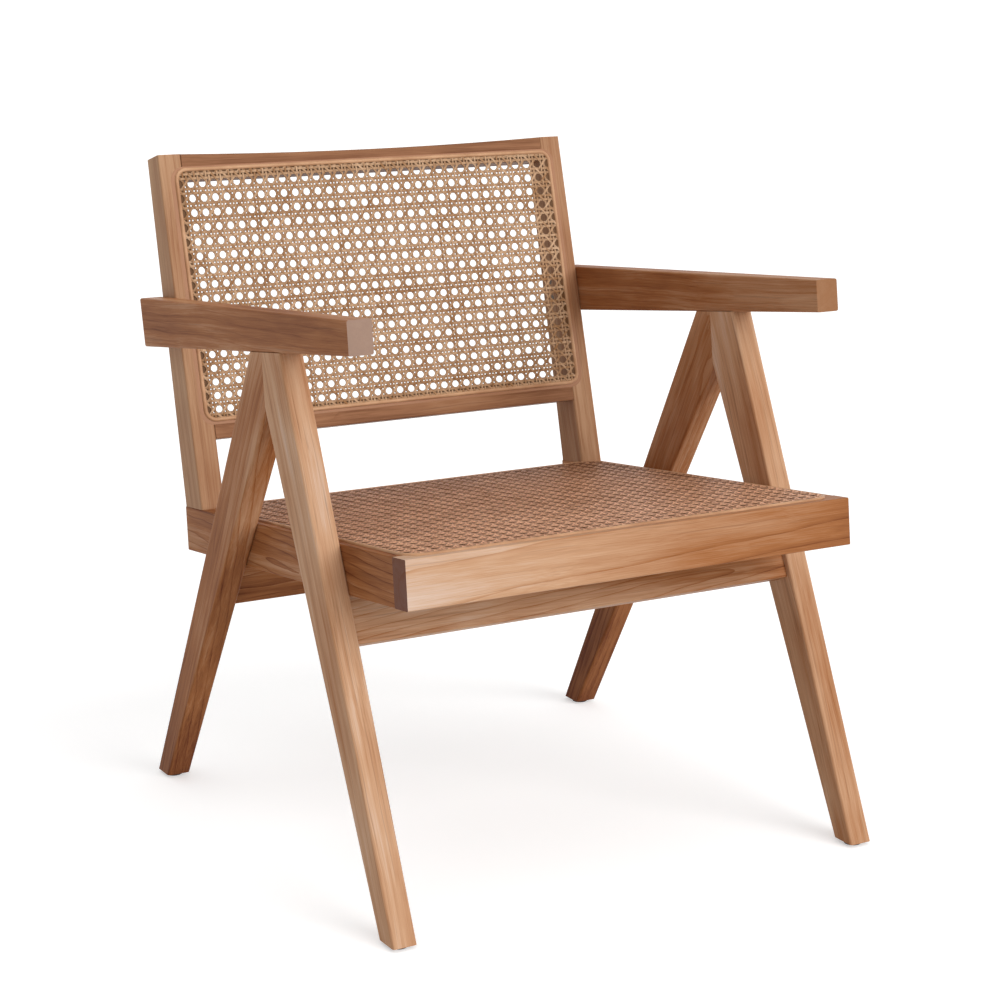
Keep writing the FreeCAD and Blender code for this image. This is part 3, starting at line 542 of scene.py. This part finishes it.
class Weave:
    """Collects the strands of one panel in one mesh."""

    def __init__(self, panel, seed, level_step, thick, lowest, flat):
        """Takes a step's height, a strand's thickness, how far out the lowest lies, and the share of
        a strand's width that is flat."""
        self.panel = panel
        self.random = random.Random(seed)
        self.level_step = level_step
        self.thick = thick
        self.lowest = lowest
        self.flat = flat
        self.counts = [
            int((high - low) / pitch) + SPARE_LINES
            for low, high, pitch in zip(panel.low, panel.high, panel.pitch)
        ]
        self.vertices = []
        self.faces = []
        self.tones = []
        self.depths = []

    def held(self, at, spot):
        return self.panel.inside(*self.panel.place(*at(spot)), WEAVE_INSET)

    def edge(self, at, inner, outer):
        """Where a strand crosses the outline between a spot inside and one outside."""
        for _ in range(EDGE_HALVINGS):
            middle = (inner + outer) / 2
            if self.held(at, middle):
                inner = middle
            else:
                outer = middle
        return inner

    def cut(self, at, stops):
        """The stops of a strand that lie in the outline, with one more where it meets the outline."""
        kept = [i for i, (spot, _) in enumerate(stops) if self.held(at, spot)]
        if not kept:
            return []
        first, last = kept[0], kept[-1]
        run = stops[first:last + 1]
        if first > 0:
            run.insert(0, (self.edge(at, stops[first][0], stops[first - 1][0]), stops[first - 1][1]))
        if last < len(stops) - 1:
            run.append((self.edge(at, stops[last][0], stops[last + 1][0]), stops[last + 1][1]))
        return run

    def section(self, width):
        """A ribbon's outline: how far across and up each corner lies, and how much painted shade it takes."""
        half, top = width / 2, self.thick / 2
        shoulder = half * self.flat
        return (
            (-shoulder, -top, UNDERSIDE_SHADE), (shoulder, -top, UNDERSIDE_SHADE),
            (half, -top / 2, SIDE_SHADE), (half, top / 2, SIDE_SHADE),
            (shoulder, top, TOP_SHADE), (-shoulder, top, TOP_SHADE),
            (-half, top / 2, SIDE_SHADE), (-half, -top / 2, SIDE_SHADE),
        )

    def strand(self, at, direction, stops, width):
        """A ribbon along at(spot) in grid places, with a list of (spot, level) stops in order."""
        run = self.cut(at, stops)
        if len(run) < 2:
            return
        side_u, side_v = -direction[1], direction[0]
        section = self.section(width)
        start, count = len(self.vertices), len(section)
        for spot, level in run:
            u, v = self.panel.place(*at(spot))
            for across, lift, shade_share in section:
                out = self.lowest + self.level_step * level + lift
                self.vertices.append(self.panel.point(u + side_u * across, v + side_v * across, out))
                # painted shade: darker on a strand's sides and underside, and on strands that lie lower
                self.depths.append(min(max(shade_share + LEVEL_SHADE * (MIDDLE - level), 0.0), 1.0))
        for i in range(len(run) - 1):
            self.wall(start + i * count, count)
        self.faces.append(tuple(start + k for k in reversed(range(count))))
        self.faces.append(tuple(start + (len(run) - 1) * count + k for k in range(count)))
        self.tones += [self.random.random()] * (count * len(run))

    def wall(self, base, count):
        """The faces between one closed row of points and the next row."""
        for k in range(count):
            following = (k + 1) % count
            self.faces.append((base + k, base + following, base + count + following, base + count + k))

    def pair(self, axis):
        """The double strands along one axis: 0 runs across, 1 runs up."""
        other = 1 - axis
        reach = PAIR_GAP[other] / 2 / self.panel.pitch[axis]
        direction = (0.0, 1.0) if axis else (1.0, 0.0)
        for line in range(-SPARE_LINES, self.counts[other]):
            for twin in (-1, 1):
                place = line - HALF + twin * PAIR_GAP[axis] / 2 / self.panel.pitch[other]
                first_over = (twin > 0) == bool(axis)
                stops = []
                for node in range(-SPARE_LINES, self.counts[axis]):
                    crossing = node - HALF
                    stops += [
                        (crossing - reach, OVER if first_over else UNDER),
                        (crossing, MIDDLE),
                        (crossing + reach, UNDER if first_over else OVER),
                        (crossing + HALF, MIDDLE),
                    ]

                def at(spot):
                    return (place, spot) if axis else (spot, place)

                self.strand(at, direction, stops, STRAND_WIDE[axis])

    def diagonals(self, rise):
        """The single strands that cut the holes' corners, rising or falling to the right."""
        pitch = self.panel.pitch
        length = math.hypot(*pitch)
        direction = (pitch[0] / length, rise * pitch[1] / length)
        across, up = self.counts
        # a whole spot is on an upright pair, a half spot on a level pair
        whole, half = (HIGHEST, DEEPEST) if rise > 0 else (DEEPEST, HIGHEST)
        stops = []
        for node in range(-SPARE_LINES, across):
            stops += [
                (node, whole), (node + HALF / 2, MIDDLE),
                (node + HALF, half), (node + 3 * HALF / 2, MIDDLE),
            ]
        for line in range(-up - across, across + up):
            def at(spot):
                return spot + HALF, rise * (spot - line)

            self.strand(at, direction, stops, DIAGONAL_WIDE)

    def slab(self, outline):
        """A thin dark slab on the frame's face, under the strands, as painted shade."""
        start, count = len(self.vertices), len(outline)
        for out in SHADE_BORDER_OUT:
            self.vertices += [self.panel.point(u, v, out) for u, v in outline]
        self.faces.append(tuple(start + k for k in reversed(range(count))))
        self.faces.append(tuple(start + count + k for k in range(count)))
        self.wall(start, count)
        self.tones += [SHADE_BORDER_TONE] * (2 * count)
        self.depths += [SHADE_BORDER_DARKNESS] * (2 * count)

    def painted_shade_border(self, low, high):
        """Painted shade: a dark border on the frame that shows through the weave, round the frame's opening,
        where the cane shades the wood.
        """
        panel = self.panel
        left, bottom = (size + WEAVE_INSET for size in panel.low)
        right, top = (size - WEAVE_INSET for size in panel.high)
        centres = panel.centres()
        (far_u, far_v), (near_u, near_v) = centres[0], centres[2]
        for start, end in (
            ((left, near_v), (low[0], far_v)),
            ((high[0], near_v), (right, far_v)),
            ((near_u, bottom), (far_u, low[1])),
            ((near_u, high[1]), (far_u, top)),
        ):
            self.slab([start, (end[0], start[1]), end, (start[0], end[1])])
        radius = panel.corner - WEAVE_INSET
        openings = (high[0], high[1]), (low[0], high[1]), (low[0], low[1]), (high[0], low[1])
        for quarter, ((u, v), (open_u, open_v)) in enumerate(zip(centres, openings)):
            turns = quarter_turn(quarter)
            arc = [(u + radius * math.cos(turn), v + radius * math.sin(turn)) for turn in turns]
            inner = [(u, open_v), (open_u, open_v), (open_u, v)]
            self.slab(arc + (inner if quarter % 2 == 0 else inner[::-1]))

    def piece(self, name, material, node):
        new_piece(name, self.vertices, self.faces, material, "cane", node, tone=self.tones, depth=self.depths)


# ---- The beads

BEAD_HALF = 2.3
BEAD_PROUD = 2.4
BEAD_ROOT = -1.2  # how far its underside lies in the frame
BEAD_STEPS = 10
BEAD_POWER = 0.8  # 1 is a half round, and less is fuller at its sides
FLUSH = 0.04  # how far a filled groove stands out of the frame


def ring(panel, section):
    """The vertices and faces of a section of (away from the middle line, lift) carried round a panel."""
    vertices, faces = [], []
    centres = panel.centres()
    for quarter in (-1, 0, 1, 2):
        centre_u, centre_v = centres[quarter]
        for angle in quarter_turn(quarter):
            for away, lift in section:
                reach = panel.corner + away
                u, v = centre_u + math.cos(angle) * reach, centre_v + math.sin(angle) * reach
                vertices.append(panel.point(u, v, lift))
    count = len(section)
    rings = len(vertices) // count
    for i in range(rings):
        this, following = i * count, (i + 1) % rings * count
        for k in range(count):
            beside = (k + 1) % count
            faces.append((this + k, following + k, following + beside, this + beside))
    return vertices, faces


def bead(panel, groove, name, material, node):
    """A half-round reed round the weave, and the flush filling of the groove where that lies further out."""
    section = [(-BEAD_HALF, BEAD_ROOT)]
    for step in range(BEAD_STEPS + 1):
        angle = math.pi * (1 - step / BEAD_STEPS)
        section.append((BEAD_HALF * math.cos(angle), BEAD_PROUD * math.sin(angle) ** BEAD_POWER))
    section.append((BEAD_HALF, BEAD_ROOT))
    vertices, faces = ring(panel, section)
    flush = [0.0] * len(vertices)
    if groove is not panel:
        filling = [(-BEAD_HALF, BEAD_ROOT), (-BEAD_HALF, FLUSH), (BEAD_HALF, FLUSH), (BEAD_HALF, BEAD_ROOT)]
        more_vertices, more_faces = ring(groove, filling)
        faces += [tuple(len(vertices) + index for index in face) for face in more_faces]
        vertices += more_vertices
        flush += [1.0] * len(more_vertices)
    mesh = new_piece(name, vertices, faces, material, "reed", node, flush=flush)
    for polygon in mesh.polygons:
        polygon.use_smooth = flush[polygon.vertices[0]] == 0.0


# ---- The two fields, with their grids of holes

# The back's bead stands where the photograph shows it, and the CAD's groove, further out, is filled
BACK_GROOVE = Panel(BACK, True, (-259.0, 99.5), (259.0, 399.5), 14.0)
BACK_PANEL = Panel(BACK, True, (-254.0, 102.8), (254.0, 398.0), 12.5)
BACK_PANEL.lay((-237.3, 114.8), (14.58, 15.84), (0.022, 0.05), 0.06)
BACK_OPENING = (-245.0, 110.5), (245.0, 387.0)
SEAT_PANEL = Panel(SEAT, False, (-262.0, 14.0), (262.0, 502.5), 24.0)
SEAT_PANEL.lay((-239.2, 32.0), (16.1, 15.2), (-0.01, 0.0), 0.0)
CANES = {
    "back": cane("back_cane", srgb(240, 204, 168), srgb(150, 106, 66)),
    "seat": cane("seat_cane", srgb(240, 184, 148), srgb(134, 82, 44)),
}
REED_MATERIAL = reed("reed_bead")
WEAVES = {
    "back": Weave(BACK_PANEL, seed=11, level_step=0.45, thick=0.5, lowest=0.35, flat=0.68),
    "seat": Weave(SEAT_PANEL, seed=23, level_step=0.6, thick=1.2, lowest=0.65, flat=0.84),
}

for label, groove, opening in (("back", BACK_GROOVE, BACK_OPENING), ("seat", SEAT_PANEL, None)):
    weave = WEAVES[label]
    weave.pair(0)
    weave.pair(1)
    weave.diagonals(1)
    weave.diagonals(-1)
    if opening:
        # painted shade on the frame's border under the back weave
        weave.painted_shade_border(*opening)
    weave.piece(label + "_weave", CANES[label], label + "_cane")
    bead(weave.panel, groove, label + "_bead", REED_MATERIAL, label + "_spline")


# ---- Floor and light

FLOOR_REACH = 40.0
FLOOR_GREY = (0.8, 0.8, 0.8, 1.0)
FLOOR_GLOW = 0.46  # with the lit grey, white to the camera
BACKDROP = 1.0
AMBIENT = 0.5
WHITE = (1.0, 1.0, 1.0, 1.0)


def seen_directly(nodes, links, strength, otherwise=0.0):
    """A strength for camera, mirror and glass rays, and another for all the rest."""
    path = nodes.new("ShaderNodeLightPath")
    seen = path.outputs["Is Camera Ray"]
    for ray in ("Is Glossy Ray", "Is Transmission Ray"):
        either = nodes.new("ShaderNodeMath")
        either.operation = "MAXIMUM"
        links.new(seen, either.inputs[0])
        links.new(path.outputs[ray], either.inputs[1])
        seen = either.outputs[0]
    blend = nodes.new("ShaderNodeMapRange")
    links.new(seen, blend.inputs["Value"])
    blend.inputs["To Min"].default_value = otherwise
    blend.inputs["To Max"].default_value = strength
    return blend.outputs["Result"]


def stage_floor():
    far = FLOOR_REACH
    corners = [(-far, -far, 0), (far, -far, 0), (far, far, 0), (-far, far, 0)]
    mesh = bpy.data.meshes.new("floor")
    mesh.from_pydata(corners, [], [(0, 1, 2, 3)])
    floor = bpy.data.objects.new("floor", mesh)
    bpy.context.scene.collection.objects.link(floor)
    material = bpy.data.materials.new("floor_white")
    material.use_nodes = True
    nodes, links = material.node_tree.nodes, material.node_tree.links
    nodes.clear()
    output = nodes.new("ShaderNodeOutputMaterial")
    base = nodes.new("ShaderNodeBsdfDiffuse")
    base.inputs["Color"].default_value = FLOOR_GREY
    glow = nodes.new("ShaderNodeEmission")
    both = nodes.new("ShaderNodeAddShader")
    links.new(seen_directly(nodes, links, FLOOR_GLOW), glow.inputs["Strength"])
    links.new(base.outputs[0], both.inputs[0])
    links.new(glow.outputs[0], both.inputs[1])
    links.new(both.outputs[0], output.inputs["Surface"])
    mesh.materials.append(material)


def sun(name, strength, spread, towards):
    """A soft distant light that shines along a direction."""
    data = bpy.data.lights.new(name, "SUN")
    data.energy = strength
    data.angle = math.radians(spread)
    item = bpy.data.objects.new(name, data)
    item.rotation_mode = "QUATERNION"
    item.rotation_quaternion = Vector(towards).to_track_quat("-Z", "Y")
    bpy.context.scene.collection.objects.link(item)


world = bpy.data.worlds.new("studio")
bpy.context.scene.world = world
world.use_nodes = True
world_nodes, world_links = world.node_tree.nodes, world.node_tree.links
background = world_nodes["Background"]
background.inputs["Color"].default_value = WHITE
world_links.new(seen_directly(world_nodes, world_links, BACKDROP, AMBIENT), background.inputs["Strength"])

sun("key_light", strength=1.9, spread=40.0, towards=(-0.3, 0.85, -0.42))
sun("top_light", strength=0.5, spread=60.0, towards=(0.1, 0.1, -1.0))
stage_floor()


# ---- Camera, from the fit of the photograph

PHOTO_SIDE = 1000
FOCAL_PIXELS = 2475.6
MIDDLE_ROW = 400.0
SENSOR = 36.0
CAMERA_PLACE = Vector((-1.3800, -2.38956, 1.03097))
YAW = 0.527877
PITCH = -0.198205
ROLL = 0.007244

forward = Vector((math.sin(YAW) * math.cos(PITCH), math.cos(YAW) * math.cos(PITCH), math.sin(PITCH)))
sideways = Vector((math.cos(YAW), -math.sin(YAW), 0.0))
upward = sideways.cross(forward)
right = sideways * math.cos(ROLL) + upward * math.sin(ROLL)
upward = upward * math.cos(ROLL) - sideways * math.sin(ROLL)
turn = Matrix((right, upward, -forward)).transposed().to_4x4()

camera_data = bpy.data.cameras.new("camera")
camera_data.sensor_width = SENSOR
camera_data.lens = SENSOR * FOCAL_PIXELS / PHOTO_SIDE
camera_data.shift_y = (MIDDLE_ROW - PHOTO_SIDE / 2) / PHOTO_SIDE
camera = bpy.data.objects.new("camera", camera_data)
camera.matrix_world = Matrix.Translation(CAMERA_PLACE) @ turn
bpy.context.scene.collection.objects.link(camera)
bpy.context.scene.camera = camera

bpy.context.scene.view_settings.view_transform = "Standard"
